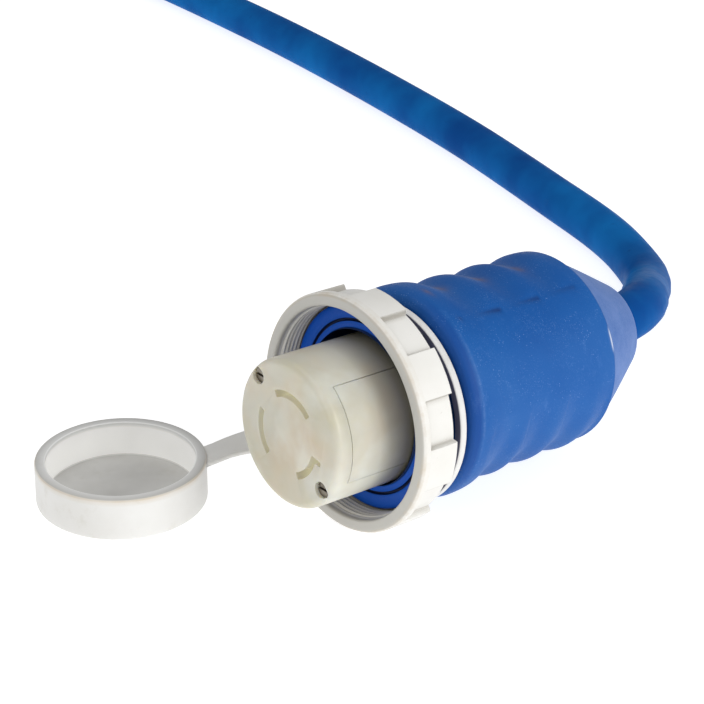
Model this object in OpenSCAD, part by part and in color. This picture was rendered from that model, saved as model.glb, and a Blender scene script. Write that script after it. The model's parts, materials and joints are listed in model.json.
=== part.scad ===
// Locking shore power connector with a threaded ring, a grip boot,
// a strapped weather cap and a coiled cable.
// The connector lies on its side. Local x runs along its axis from the
// ring's front plane towards the cable.

/* [Locking ring] */
// Outside diameter over the front rim and the grip blocks
ring_od = 84; // [82:0.5:88]
// Bore of the threaded part
ring_bore = 73.2; // [72.8:0.2:74]
// Length along the axis
ring_len = 15; // [14:0.5:17]
// Depth of the recesses between the grip blocks
block_h = 2; // [1:0.25:2.5]
// Number of grip blocks
blocks = 8; // [6:1:10]

/* [Contact insert] */
// Diameter of the insert
ins_d = 52; // [50:0.5:52]
// How far the insert stands out of the ring
ins_out = 23.5; // [20:0.5:26]
// Mean radius of the contact circle
pole_r = 14.2; // [13.6:0.2:14.6]
// Radial width of a contact slot
slot_w = 2.6; // [2:0.2:3]
// How far the insert sags inside the boot
ins_drop = 0.9; // [0:0.1:1]

/* [Grip boot] */
// Radius of the widest part, behind the strap loop
boot_r = 37.8; // [37:0.2:39]
// Radius of the neck that carries the strap loop
neck_r = 30.2; // [29.8:0.1:30.3]
// Inside radius of the boot
boot_in = 28; // [27.6:0.1:28.2]
// Length from the ring's front plane to the tail end
boot_end = 126.5; // [124:0.5:130]
// Depth of the finger grooves below the crests
groove_d = 2.6; // [1:0.2:3.4]

/* [Weather cap] */
// Outside diameter
cap_od = 60.2; // [58:0.2:62]
// Inside diameter, a push fit over the insert
cap_id = 52.4; // [52.2:0.1:53]
// Height
cap_h = 15.9; // [14:0.1:18]
// Floor thickness
cap_floor = 2.6; // [2:0.2:4]

/* [Strap] */
// Width of the strap
strap_w = 11; // [8:0.5:12]
// Thickness of the strap
strap_t = 1.8; // [1.4:0.1:2.2]

/* [Cable] */
// Diameter over the jacket
cable_d = 19; // [18:0.2:19]
// Mean radius of the coil
coil_r = 100; // [98:1:102]

/* [Resting place] */
// Nose-up tilt of the connector where it lies
tilt = 3; // [2:0.25:4]

/* [Hidden] */
$fn = 96;

ring_r = ring_od / 2;
ax_h = ring_r * cos(tilt) + ring_len * sin(tilt);
cap_x = -47.7;
cap_y = 62.5;
cap_r = cap_od / 2;
tail_r = 16.2;
// the frame's origin is under the middle of the connector and its cap
ox = -((cap_x - cap_r) + (boot_end * cos(tilt) + tail_r * sin(tilt))) / 2;
oy = -(-ring_r + cap_y + cap_r) / 2;
ins_r = ins_d / 2;
ins_side = 0.3;
pole_a = [82, 195, -38];
pole_h = [37, 33, 28];
// where each contact's terminal sits, clear of the assembly screws
term_a = [82, 195, -70];
cable_r = cable_d / 2;
screw_r = 22.4;
screw_a = [137, -35];
core_r = 2.8;
// centre of an insulated core inside the boot, from its terminal to the jacket
function core_at(a, x) = at(15 - (x - 22.6) * 0.27, a, x);

// ---- placing -------------------------------------------------------------
module frame() { translate([ox, oy, 0]) children(); }
module on_axis() { frame() translate([0, 0, ax_h]) rotate([0, tilt, 0]) children(); }
module on_insert() { on_axis() translate([0, -ins_side, -ins_drop]) children(); }
// a round solid about the local x axis from points [radius, x]
module rev(p) { rotate([0, 90, 0]) rotate_extrude() polygon(p); }
// the same over the angles a0 to a1, seen from the front: 0 is the -y side, 90 is up
module rev_part(p, a0, a1) {
  rotate([0, 90, 0]) rotate([0, 0, -90 - a1]) rotate_extrude(angle = a1 - a0) polygon(p);
}
module xcyl(x0, x1, r) { translate([x0, 0, 0]) rotate([0, 90, 0]) cylinder(h = x1 - x0, r = r); }
function at(r, a, x) = [x, -r * cos(a), r * sin(a)];
module rod(p, q, r) {
  v = q - p; l = norm(v);
  translate(p) rotate([0, acos(v[2] / l), atan2(v[1], v[0])]) cylinder(h = l, r = r);
}
function box_pts(r0, r1, x0, x1) = [[r0, x0], [r1, x0], [r1, x1], [r0, x1]];

// ---- grip boot -----------------------------------------------------------
// outline of the outer skin, [x, radius], behind the neck
skin = [[26.5, 35.6], [27.4, 37], [29.5, boot_r - 0.2], [33, boot_r], [38, 37.4],
  [44, 36.6], [52, 36.1], [60, 35.8], [70, 35.7], [80, 35.8], [90, 35.9], [95.6, 35.6],
  [96.2, 35], [96.6, 34], [boot_end - 1.6, 18.1], [boot_end - 0.5, 17.2], [boot_end, tail_r]];
grooves_up = [45.6, 64.6, 82.2];
grooves_dn = [44.6, 61, 78.2, 94.6];
module groove(x, a) {
  // a ring set off from the axis, so that it cuts deepest at angle a and fades out
  off = 8; inner = boot_r + 5 - groove_d + 1.3;
  translate([x, off * cos(a), -off * sin(a)])
    rotate([0, 90, 0]) rotate_extrude() translate([inner + 9 - 0.6, 0]) circle(r = 9, $fn = 64);
}
module grip_boot() {
  color("royalblue") on_axis() {
    difference() {
      rev(concat([[boot_in, 10], [30.1, 10], [30.1, 11], [30.9, 11], [30.9, 10],
        [36.2, 10], [36.2, 12.3], [neck_r, 12.3], [neck_r, 26.5]],
        [for (p = skin) [p[1], p[0]]],
        [[cable_r, boot_end], [cable_r, 118], [24, 92], [boot_in, 84]]));
      for (x = grooves_up) groove(x, 122);
      for (x = grooves_dn) groove(x, -58);
    }
    // seat that holds the terminal housing
    difference() {
      xcyl(27, 34, boot_in + 0.5);
      translate([0, -ins_side, -ins_drop]) xcyl(26, 35, back_r);
    }
  }
}

// ---- locking ring --------------------------------------------------------
lip_x = 12.7;
module locking_ring() {
  color("whitesmoke") on_axis() difference() {
    rev([[ring_bore / 2 + 1.2, 0], [ring_r - 1, 0], [ring_r, 1], [ring_r, ring_len],
      [31.2, ring_len], [31.2, lip_x], [ring_bore / 2, lip_x], [ring_bore / 2, 1.2]]);
    for (i = [0 : blocks - 1]) let (a = 360 / blocks * i + 360 / blocks / 4 - 7.5)
      rev_part(box_pts(ring_r - block_h, ring_r + 3, 3.2, ring_len + 1), a, a + 360 / blocks / 2);
  }
}

// ---- insert --------------------------------------------------------------
tongue_a = [-22, 56];
tongue_x = -17;
back_r = ins_r - 0.4;
house_x = 9;
module contact_housing() {
  color("ivory") on_insert() difference() {
    rev(concat([[0, -ins_out]], [for (i = [0 : 6]) [ins_r - 2.5 + 2.5 * sin(i * 15), -ins_out + 2.5 - 2.5 * cos(i * 15)]],
      [[ins_r, house_x], [0, house_x]]));
    // slots for the blades, with a turned leg on the earth slot
    for (i = [0 : 2])
      rev_part(box_pts(pole_r - slot_w / 2, pole_r + slot_w / 2, -ins_out - 1, -16), pole_a[i] - pole_h[i], pole_a[i] + pole_h[i]);
    rev_part(box_pts(pole_r - slot_w / 2, pole_r + slot_w / 2 + 2.6, -ins_out - 1, -16), pole_a[2] + pole_h[2] - 6, pole_a[2] + pole_h[2]);
    // chambers for the contacts
    for (i = [0 : 2])
      rev_part(box_pts(pole_r - 3.2, pole_r + 3.2, -17, house_x + 1), min(pole_a[i] - pole_h[i] - 4, term_a[i] - 20), pole_a[i] + pole_h[i] + 4);
    // notch for the terminal housing's tongue
    rev_part(box_pts(ins_r - 4, ins_r + 1, tongue_x, house_x + 1), tongue_a[0], tongue_a[1]);
    // screw holes
    for (a = screw_a) translate(at(screw_r, a, 0)) {
      xcyl(-ins_out - 1, -19.5, 3);
      xcyl(-20, house_x + 1, 2);
    }
  }
}
module terminal_housing() {
  color("ivory") on_insert() difference() {
    union() {
      xcyl(house_x, 36, back_r);
      rev_part(box_pts(ins_r - 3.9, ins_r, tongue_x + 0.15, house_x + 0.5), tongue_a[0] + 0.3, tongue_a[1] - 0.3);
    }
    for (a = term_a) rotate([-a + 90, 0, 0]) translate([house_x - 1, -6.2, 9])
      cube([23, 12.4, 20]);
    for (a = term_a) rod(core_at(a, 26), core_at(a, 42), core_r + 0.5);
    for (a = screw_a) translate(at(screw_r, a, 0)) xcyl(house_x - 1, 37, 2);
  }
}

// ---- contacts ------------------------------------------------------------
// two leaves that grip the blade, a web and a terminal block
module contact(i) {
  a = pole_a[i];
  b = term_a[i];
  h = pole_h[i] + 1;
  difference() {
    union() {
      rev_part(box_pts(pole_r - 2.9, pole_r - 1.9, -15.6, 7), a - h, a + h);
      rev_part(box_pts(pole_r + 1.9, pole_r + 2.9, -15.6, 7), a - h, a + h);
      rev_part(box_pts(pole_r - 2.5, pole_r + 2.5, 5, 10), b - 18, b + 18);
      rotate([-b + 90, 0, 0]) translate([9.3, -5.5, 10]) cube([20.2, 11, 9.5]);
    }
    // wire hole and screw hole
    rod(core_at(b, 22), core_at(b, 42), core_r + 0.4);
    rod(at(9, b, 17), at(30, b, 17), 2.1);
  }
}
module line_contact() { color("goldenrod") on_insert() contact(0); }
module neutral_contact() { color("goldenrod") on_insert() contact(1); }
module ground_contact() { color("goldenrod") on_insert() contact(2); }
module terminal_screws() {
  color("silver") on_insert() for (a = term_a) {
    rod(at(11, a, 17), at(23.5, a, 17), 2);
    difference() {
      rod(at(22.4, a, 17), at(25.2, a, 17), 3.6);
      rotate([-a + 90, 0, 0]) translate([12, -0.5, 24.2]) cube([10, 1, 3]);
    }
  }
}
module terminal_clamp_plates() {
  color("silver") on_insert() for (a = term_a) difference() {
    rotate([-a + 90, 0, 0]) translate([12.5, -5, 20]) cube([9, 10, 1.6]);
    rod(at(18, a, 17), at(24, a, 17), 2.1);
  }
}
module assembly_screws() {
  color("silver") on_insert() for (a = screw_a) translate(at(screw_r, a, 0)) difference() {
    union() { xcyl(-22.3, -19.5, 2.7); xcyl(-19.6, 39.5, 1.8); }
    translate([-23, -3, -0.45]) cube([1.7, 6, 0.9]);
  }
}

// ---- cord clamp ----------------------------------------------------------
module cord_clamp_base() {
  color("ivory") on_insert() difference() {
    union() {
      xcyl(36, 40, 25.4);
      translate([39, -9, -21.5]) cube([41, 18, 8]);
      translate([64, -17, -14]) cube([16, 34, 13.4]);
    }
    xcyl(35, 41, 16);
    translate([0, ins_side, ins_drop]) xcyl(50, 81, cable_r + 0.1);
    for (a = screw_a) translate(at(screw_r, a, 0)) xcyl(35, 41, 1.8);
    for (s = [-1, 1]) translate([72, s * 13.4, -15]) cylinder(h = 16, r = 1.9);
  }
}
module cord_clamp_bar() {
  color("ivory") on_insert() difference() {
    translate([64, -17, 0.6]) cube([16, 34, 12.4]);
    translate([0, ins_side, ins_drop]) xcyl(50, 81, cable_r + 0.1);
    for (s = [-1, 1]) translate([72, s * 13.4, 0]) cylinder(h = 14, r = 1.9);
  }
}
module cord_clamp_screws() {
  color("silver") on_insert() for (s = [-1, 1]) translate([72, s * 13.4, 0]) difference() {
    union() { translate([0, 0, -13]) cylinder(h = 26.2, r = 1.8); translate([0, 0, 13.05]) cylinder(h = 2.6, r = 3.3); }
    translate([-4, -0.45, 14.4]) cube([8, 0.9, 2]);
  }
}
module core(a) { rod(core_at(a, 61), core_at(a, 22.8), core_r); }
module line_wire() { color("black") on_insert() core(term_a[0]); }
module neutral_wire() { color("white") on_insert() core(term_a[1]); }
module ground_wire() { color("green") on_insert() core(term_a[2]); }

// ---- strap and cap -------------------------------------------------------
loop_r = 32.8;
loop_drop = 2.1;
tab_a = 213;
module strap_loop() {
  color("whitesmoke") on_axis() translate([0, 0.4, -loop_drop]) difference() {
    union() {
      xcyl(22.4, 25.4, loop_r + 3.2);
      rotate([-tab_a + 90, 0, 0]) translate([22.4, -strap_w / 2, 30]) cube([strap_t, strap_w, 13]);
    }
    xcyl(22, 26, loop_r);
  }
}
// a point of the tab's end and its two directions, in the resting frame
function tip(v) = [v[0] * cos(tilt) + v[2] * sin(tilt), v[1], -v[0] * sin(tilt) + v[2] * cos(tilt)];
tab_p = tip([22.4 + strap_t / 2, 0.4 - 43 * cos(tab_a), -loop_drop + 43 * sin(tab_a)]) + [0, 0, ax_h];
tab_o = tip([0, -cos(tab_a), sin(tab_a)]);
tab_n = tip([1, 0, 0]);
// strap route: centre, way across the width, way through the thickness
strap_c = concat([tab_p, tab_p + 3 * tab_o], [[21, 40.8, 13.2], [17.5, 43.4, 11.7], [12, 45.3, 11.2],
  [5, 46.6, 11.8], [-2, 47.3, 12.8], [-9, 47.5, 13.5], [-15, 47.4, 13.8], [-21.3, 47.2, 13.9]]);
strap_a = [57, 57, 55, 50, 42, 30, 16, 6, 0, 0];
function unit(v) = v / norm(v);
function way(c, i) = unit(c[min(i + 1, len(c) - 1)] - c[max(i - 1, 0)]);
function side_of(i) = let (t = way(strap_c, i), w = [0, cos(strap_a[i]), sin(strap_a[i])])
  i < 2 ? unit(cross(tab_n, tab_o)) : i == len(strap_c) - 1 ? [0.6, 1, 0] : unit(w - (w * t) * t);
function strap_ring(i) = let (t = i < 2 ? tab_o : way(strap_c, i), w = side_of(i), n = unit(cross(t, w)),
  c = strap_c[i], a = strap_w / 2, b = strap_t / 2) [c + a * w + b * n, c - a * w + b * n, c - a * w - b * n, c + a * w - b * n];
// a closed skin over rings of points
module skin_of(rings) {
  n = len(rings[0]); m = len(rings);
  polyhedron(points = [for (r = rings) each r],
    faces = concat([[for (j = [n - 1 : -1 : 0]) j]], [[for (j = [0 : n - 1]) (m - 1) * n + j]],
      [for (i = [0 : m - 2], j = [0 : n - 1]) each [
        [i * n + j, i * n + (j + 1) % n, (i + 1) * n + (j + 1) % n],
        [i * n + j, (i + 1) * n + (j + 1) % n, (i + 1) * n + j]]]));
}
module cap_strap() {
  color("gainsboro") frame() skin_of([for (i = [0 : len(strap_c) - 1]) strap_ring(i)]);
}
module weather_cap() {
  color("whitesmoke") frame() translate([cap_x, cap_y, 0]) rotate_extrude()
    polygon([[0, 0], [cap_r - 1.2, 0], [cap_r - 0.35, 0.35], [cap_r, 1.2], [cap_r, cap_h - 0.6], [cap_r - 0.6, cap_h],
      [cap_id / 2 + 0.8, cap_h], [cap_id / 2, cap_h - 0.8], [cap_id / 2, cap_floor + 1.5], [cap_id / 2 - 1.5, cap_floor], [0, cap_floor]]);
}

// ---- cable ---------------------------------------------------------------
// route of the jacket's centre from inside the clamp to the coil
function along(x) = [x * cos(tilt), 0, ax_h - x * sin(tilt)];
tie_t = 1.2;
coil_c = [184, 726];
coil_z = tie_t;
route = concat([along(62), along(82), along(102), along(118)],
  [[131.9, 1.3, 35.5], [145.2, 5.2, 33.8], [157.5, 11.3, 31.2], [168.5, 19.3, 27.7], [178.4, 28.1, 23.4],
   [188.5, 36.6, 18.7], [198.8, 45.2, 14.8], [208.4, 54.9, 12], [216.6, 66.1, 10.2], [223.5, 78.3, 9.5],
   [229.1, 91.1, 9.5], [233.7, 104.3, 9.5], [237.5, 117.8, 9.5], [240.8, 131.4, 9.5], [244, 145, 9.5],
   [250.6, 172.3, 9.5], [259.6, 212, 9.5], [265.4, 243, 9.5], [270.8, 276.5, 9.5], [276.2, 314, 9.5], [281.2, 354, 9.5],
   [285.3, 394, 9.5], [288.4, 436, 9.5], [290.9, 480, 9.5], [292.4, 524, 9.5], [293.2, 568, 9.8],
   [293.5, 612, 10.4], [293.5, 668, 10.7]]);
// rings that keep their twist, sides corners each
function ring_at(c, t, r, sides) = let (w = unit(cross(t, [0, 0, 1])), n = cross(w, t))
  [for (k = [0 : sides - 1]) c + r * (cos(360 / sides * k) * w + sin(360 / sides * k) * n)];
module cable_lead() {
  color("royalblue") frame() skin_of([for (i = [0 : len(route) - 1]) ring_at(route[i], way(route, i), cable_r, 12)]);
}
// the top outer turn ends at gap_a and begins again at gap_b
gap_a = 180;
gap_b = 266;
module cable_coil() {
  color("royalblue") frame() translate([coil_c[0], coil_c[1], coil_z]) difference() {
    rotate_extrude() polygon([[coil_r - cable_d, 0], [coil_r + cable_d, 0],
      [coil_r + cable_d, 2 * cable_d], [coil_r - cable_d, 2 * cable_d]]);
    rotate([0, 0, gap_a]) rotate_extrude(angle = gap_b - gap_a)
      polygon([[coil_r, cable_d], [coil_r + cable_d + 2, cable_d],
        [coil_r + cable_d + 2, 2 * cable_d + 2], [coil_r, 2 * cable_d + 2]]);
  }
}
module coil_ties() {
  color("dimgray") frame() translate([coil_c[0], coil_c[1], 0]) for (a = [70, 285]) rotate([0, 0, a])
    difference() {
      translate([coil_r - cable_d - 0.6 - tie_t, -8, 0]) cube([2 * cable_d + 0.8 + 2 * tie_t, 16, 2 * cable_d + 0.2 + 2 * tie_t]);
      translate([coil_r - cable_d - 0.6, -9, tie_t]) cube([2 * cable_d + 0.8, 18, 2 * cable_d + 0.2]);
    }
}
// stripped cores at the free end, lying on the turn below
function tail_pt(r, a, z) = [coil_c[0] + r * cos(a), coil_c[1] + r * sin(a), coil_z + z];
module tail(p) { skin_of([for (i = [0 : len(p) - 1]) ring_at(p[i], way(p, i), 2.9, 10)]); }
tail_line = [tail_pt(113.2, 180.6, 26.4), tail_pt(114.2, 187, 24.6), tail_pt(115.2, 195, 22.3), tail_pt(115.6, 204, 22.1), tail_pt(115.8, 212, 22.1)];
tail_neutral = [tail_pt(105.6, 180.6, 26.6), tail_pt(105, 187, 24.8), tail_pt(104.2, 195, 22.3), tail_pt(103.6, 204, 22.1), tail_pt(103.4, 211, 22.1)];
tail_ground = [tail_pt(109.4, 180.6, 33), tail_pt(109.6, 188, 30.4), tail_pt(109.6, 197, 26.2), tail_pt(109.6, 206, 23.6), tail_pt(109.6, 215, 22.2)];
module line_tail() { color("black") frame() tail(tail_line); }
module neutral_tail() { color("white") frame() tail(tail_neutral); }
module ground_tail() { color("green") frame() tail(tail_ground); }
module wire_ferrules() {
  color("silver") frame() for (p = [tail_line, tail_neutral, tail_ground]) {
    e = p[len(p) - 1]; t = way(p, len(p) - 1);
    rod(e, e + 12 * t, 2.1);
  }
}

grip_boot();
locking_ring();
contact_housing();
terminal_housing();
line_contact();
neutral_contact();
ground_contact();
terminal_screws();
terminal_clamp_plates();
assembly_screws();
cord_clamp_base();
cord_clamp_bar();
cord_clamp_screws();
line_wire();
neutral_wire();
ground_wire();
strap_loop();
cap_strap();
weather_cap();
cable_lead();
cable_coil();
coil_ties();
line_tail();
neutral_tail();
ground_tail();
wire_ferrules();
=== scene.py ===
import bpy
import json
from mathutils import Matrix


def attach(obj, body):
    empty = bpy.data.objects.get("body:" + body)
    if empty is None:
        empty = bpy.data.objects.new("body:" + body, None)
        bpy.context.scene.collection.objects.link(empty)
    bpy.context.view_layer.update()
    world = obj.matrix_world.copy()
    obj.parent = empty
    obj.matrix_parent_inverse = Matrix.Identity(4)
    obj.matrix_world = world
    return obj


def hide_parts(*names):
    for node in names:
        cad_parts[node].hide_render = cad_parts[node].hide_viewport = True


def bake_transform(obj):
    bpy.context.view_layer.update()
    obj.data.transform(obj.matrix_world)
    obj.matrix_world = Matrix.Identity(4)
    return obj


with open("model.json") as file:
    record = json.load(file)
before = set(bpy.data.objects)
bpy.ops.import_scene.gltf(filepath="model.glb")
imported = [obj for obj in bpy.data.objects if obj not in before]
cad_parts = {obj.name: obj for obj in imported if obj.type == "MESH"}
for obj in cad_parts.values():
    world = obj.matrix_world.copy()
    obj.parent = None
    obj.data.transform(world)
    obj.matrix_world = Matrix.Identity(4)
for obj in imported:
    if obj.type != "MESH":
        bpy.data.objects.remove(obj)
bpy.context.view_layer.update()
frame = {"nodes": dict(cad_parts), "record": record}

import json
import math

import bmesh
import bpy
import numpy as np
from mathutils import Matrix, Vector

pi = math.pi

# ---------------------------------------------------------------- the shared frame, in mm
TILT = math.radians(3)
CT, ST = math.cos(TILT), math.sin(TILT)
RING_R, RING_L = 42.0, 15.0
AXH = RING_R * CT + RING_L * ST
CAP_X, CAP_Y, CAP_R = -47.7, 62.5, 30.1
OX = -((CAP_X - CAP_R) + (126.5 * CT + 16.2 * ST)) / 2
OY = -(-RING_R + CAP_Y + CAP_R) / 2
INS = (0.3, 0.9)  # the insert sits this much off the axis, sideways and down


def from_axis(p):
    """Points along the connector's axis, in mm, to the row frame, in metres."""
    p = np.asarray(p, float)
    return np.stack([OX + p[..., 0] * CT + p[..., 2] * ST, OY + p[..., 1], AXH - p[..., 0] * ST + p[..., 2] * CT], -1) / 1000


def from_insert(p):
    return from_axis(np.asarray(p, float) + np.array([0, -INS[0], -INS[1]]))


def from_floor(p):
    return (np.asarray(p, float) + np.array([OX, OY, 0.0])) / 1000


def pol(x, r, a):
    """A point at angle a round the axis, in degrees: 0 is the camera's side, 90 is up."""
    a = np.radians(a)
    return np.stack([np.broadcast_to(x, np.broadcast(x, r, a).shape), -r * np.cos(a), r * np.sin(a)], -1)


def smooth(v, a, b):
    t = np.clip((np.asarray(v, float) - a) / (b - a), 0, 1)
    return t * t * (3 - 2 * t)


def angdiff(a, b):
    return (np.asarray(a, float) - b + 180) % 360 - 180


# ---------------------------------------------------------------- meshes
def new_obj(name, verts, faces, shade=True):
    me = bpy.data.meshes.new(name)
    me.from_pydata([tuple(v) for v in verts], [], faces)
    me.update()
    ob = bpy.data.objects.new(name, me)
    bpy.context.scene.collection.objects.link(ob)
    if shade:
        for p in me.polygons:
            p.use_smooth = True
    return ob


def fix_normals(ob):
    bm = bmesh.new()
    bm.from_mesh(ob.data)
    bmesh.ops.remove_doubles(bm, verts=bm.verts, dist=1e-7)
    bmesh.ops.recalc_face_normals(bm, faces=bm.faces)
    bm.to_mesh(ob.data)
    bm.free()


def grid(name, g, close_u=False, close_v=False, cap=False, fix=True):
    """A skin over a grid of points g[u][v]."""
    g = np.asarray(g)
    nu, nv = g.shape[:2]
    verts = g.reshape(-1, 3).tolist()
    faces = []
    for i in range(nu if close_u else nu - 1):
        i2 = (i + 1) % nu
        for j in range(nv if close_v else nv - 1):
            j2 = (j + 1) % nv
            faces.append((i * nv + j, i * nv + j2, i2 * nv + j2, i2 * nv + j))
    if cap:
        faces.append(tuple(range(nv)))
        faces.append(tuple((nu - 1) * nv + j for j in reversed(range(nv))))
    ob = new_obj(name, verts, faces)
    if fix:
        fix_normals(ob)
    return ob


def rounded(poly, radii, steps=5):
    """A closed or open 2D outline with rounded corners. radii is one number per corner; 0 keeps it sharp."""
    out = []
    n = len(poly)
    for i in range(n):
        p = np.array(poly[i], float)
        r = radii[i]
        if r <= 0:
            out.append(p)
            continue
        a = np.array(poly[i - 1], float) - p
        b = np.array(poly[(i + 1) % n], float) - p
        la, lb = np.linalg.norm(a), np.linalg.norm(b)
        a, b = a / la, b / lb
        cosv = float(np.clip(np.dot(a, b), -1, 1))
        half = math.acos(cosv) / 2
        d = min(r / math.tan(half), la * 0.49, lb * 0.49)
        rr = d * math.tan(half)
        c = p + (a + b) / np.linalg.norm(a + b) * (rr / math.sin(half))
        s0, s1 = p + a * d - c, p + b * d - c
        ang0, ang1 = math.atan2(s0[1], s0[0]), math.atan2(s1[1], s1[0])
        dd = (ang1 - ang0 + pi) % (2 * pi) - pi
        for k in range(steps + 1):
            t = ang0 + dd * k / steps
            out.append(c + rr * np.array([math.cos(t), math.sin(t)]))
    return np.array(out)


def turned(name, prof, n, place, closed=True):
    """A solid turned about the connector's axis from outline points (x, r)."""
    a = np.linspace(0, 360, n, endpoint=False)
    prof = np.asarray(prof, float)
    g = np.stack([place(pol(prof[:, 0], prof[:, 1], t)) for t in a])
    return grid(name, g, close_u=True, close_v=closed)


def join(obs, name):
    bpy.ops.object.select_all(action="DESELECT")
    for o in obs:
        o.select_set(True)
    bpy.context.view_layer.objects.active = obs[0]
    bpy.ops.object.join()
    ob = bpy.context.view_layer.objects.active
    ob.name = name
    return ob


def apply_mods(ob):
    dg = bpy.context.evaluated_depsgraph_get()
    me = bpy.data.meshes.new_from_object(ob.evaluated_get(dg))
    ob.modifiers.clear()
    ob.data = me


def bool_cut(ob, cutters):
    for c in cutters:
        m = ob.modifiers.new("cut", "BOOLEAN")
        m.operation = "DIFFERENCE"
        m.solver = "EXACT"
        m.object = c
    apply_mods(ob)
    for c in cutters:
        bpy.data.objects.remove(c)


def bevel_edges(ob, width_mm, angle=35, segments=2):
    bm = bmesh.new()
    bm.from_mesh(ob.data)
    bmesh.ops.remove_doubles(bm, verts=bm.verts, dist=2e-6)
    bmesh.ops.dissolve_limit(bm, angle_limit=math.radians(1.5), verts=bm.verts, edges=bm.edges)
    bm.to_mesh(ob.data)
    bm.free()
    m = ob.modifiers.new("bevel", "BEVEL")
    m.width = width_mm / 1000
    m.segments = segments
    m.limit_method = "ANGLE"
    m.angle_limit = math.radians(angle)
    m.harden_normals = False
    apply_mods(ob)
    for p in ob.data.polygons:
        p.use_smooth = True
    if hasattr(ob.data, "set_sharp_from_angle"):
        ob.data.set_sharp_from_angle(angle=math.radians(32))


# ---------------------------------------------------------------- materials
def nodes_of(mat):
    mat.use_nodes = True
    nt = mat.node_tree
    for n in list(nt.nodes):
        nt.nodes.remove(n)
    out = nt.nodes.new("ShaderNodeOutputMaterial")
    bs = nt.nodes.new("ShaderNodeBsdfPrincipled")
    nt.links.new(bs.outputs[0], out.inputs[0])
    return nt, bs


class Mat:
    """A small builder of node materials. Sizes are in metres."""

    def __init__(self, name, rough=0.5, spec=0.5, metal=0.0):
        self.m = bpy.data.materials.new(name)
        self.nt, self.bs = nodes_of(self.m)
        self.bs.inputs["Roughness"].default_value = rough
        self.bs.inputs["Metallic"].default_value = metal
        self.bs.inputs["Specular IOR Level"].default_value = spec
        self.tc = self.nt.nodes.new("ShaderNodeTexCoord")
        self.obj = self.tc.outputs["Object"]
        self.height = None

    def n(self, kind, **kw):
        node = self.nt.nodes.new(kind)
        for k, v in kw.items():
            setattr(node, k, v)
        return node

    def link(self, a, b):
        self.nt.links.new(a, b)

    def noise(self, scale, detail=3.0, rough=0.5, vec=None, dist=0.0):
        t = self.n("ShaderNodeTexNoise")
        t.inputs["Scale"].default_value = scale
        t.inputs["Detail"].default_value = detail
        t.inputs["Roughness"].default_value = rough
        t.inputs["Distortion"].default_value = dist
        self.link(vec if vec is not None else self.obj, t.inputs["Vector"])
        return t.outputs["Fac"]

    def voronoi(self, scale, vec=None, feature="F1"):
        t = self.n("ShaderNodeTexVoronoi")
        t.feature = feature
        t.inputs["Scale"].default_value = scale
        self.link(vec if vec is not None else self.obj, t.inputs["Vector"])
        return t.outputs["Distance"]

    def stretch(self, scale, rot=(0, 0, 0), loc=(0, 0, 0)):
        mp = self.n("ShaderNodeMapping")
        mp.inputs["Scale"].default_value = scale
        mp.inputs["Rotation"].default_value = rot
        mp.inputs["Location"].default_value = loc
        self.link(self.obj, mp.inputs["Vector"])
        return mp.outputs["Vector"]

    def ramp(self, fac, stops):
        r = self.n("ShaderNodeValToRGB")
        el = r.color_ramp.elements
        while len(el) > 1:
            el.remove(el[-1])
        for i, (p, c) in enumerate(stops):
            e = el[0] if i == 0 else el.new(p)
            e.position = p
            e.color = (*c, 1) if len(c) == 3 else c
        self.link(fac, r.inputs["Fac"])
        return r.outputs["Color"]

    def mix(self, fac, a, b, mode="MIX"):
        m = self.n("ShaderNodeMix")
        m.data_type = "RGBA"
        m.blend_type = mode
        for sock, v in ((m.inputs["Factor"], fac), (m.inputs["A"], a), (m.inputs["B"], b)):
            if isinstance(v, (int, float)):
                sock.default_value = v
            elif isinstance(v, tuple):
                sock.default_value = (*v, 1) if len(v) == 3 else v
            else:
                self.link(v, sock)
        return m.outputs["Result"]

    def math(self, op, a, b=0.0, clamp=False):
        m = self.n("ShaderNodeMath")
        m.operation = op
        m.use_clamp = clamp
        for i, v in enumerate((a, b)):
            if isinstance(v, (int, float)):
                m.inputs[i].default_value = v
            else:
                self.link(v, m.inputs[i])
        return m.outputs[0]

    def rng(self, v, a, b, c, d):
        m = self.n("ShaderNodeMapRange")
        m.clamp = True
        for k, x in (("From Min", a), ("From Max", b), ("To Min", c), ("To Max", d)):
            m.inputs[k].default_value = x
        self.link(v, m.inputs["Value"])
        return m.outputs["Result"]

    def color(self, c):
        self.link(c, self.bs.inputs["Base Color"])

    def rough(self, c):
        self.link(c, self.bs.inputs["Roughness"])

    def bump(self, h, dist, strength=1.0):
        b = self.n("ShaderNodeBump")
        b.inputs["Distance"].default_value = dist
        b.inputs["Strength"].default_value = strength
        self.link(h, b.inputs["Height"])
        if self.height is not None:
            self.link(self.height, b.inputs["Normal"])
        self.height = b.outputs["Normal"]
        self.link(self.height, self.bs.inputs["Normal"])

    def attr(self, name):
        a = self.n("ShaderNodeAttribute")
        a.attribute_name = name
        return a.outputs["Fac"]

    def pointiness(self):
        g = self.n("ShaderNodeNewGeometry")
        return g.outputs["Pointiness"]

    def ao(self, dist, inside=False):
        a = self.n("ShaderNodeAmbientOcclusion")
        a.inputs["Distance"].default_value = dist
        a.samples = 6
        a.inside = inside
        return a.outputs["AO"]


def set_mat(ob, mat):
    ob.data.materials.clear()
    ob.data.materials.append(mat)


def vgroup(ob, name, values):
    at = ob.data.attributes.new(name, "FLOAT", "POINT")
    at.data.foreach_set("value", np.asarray(values, np.float32))


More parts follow.
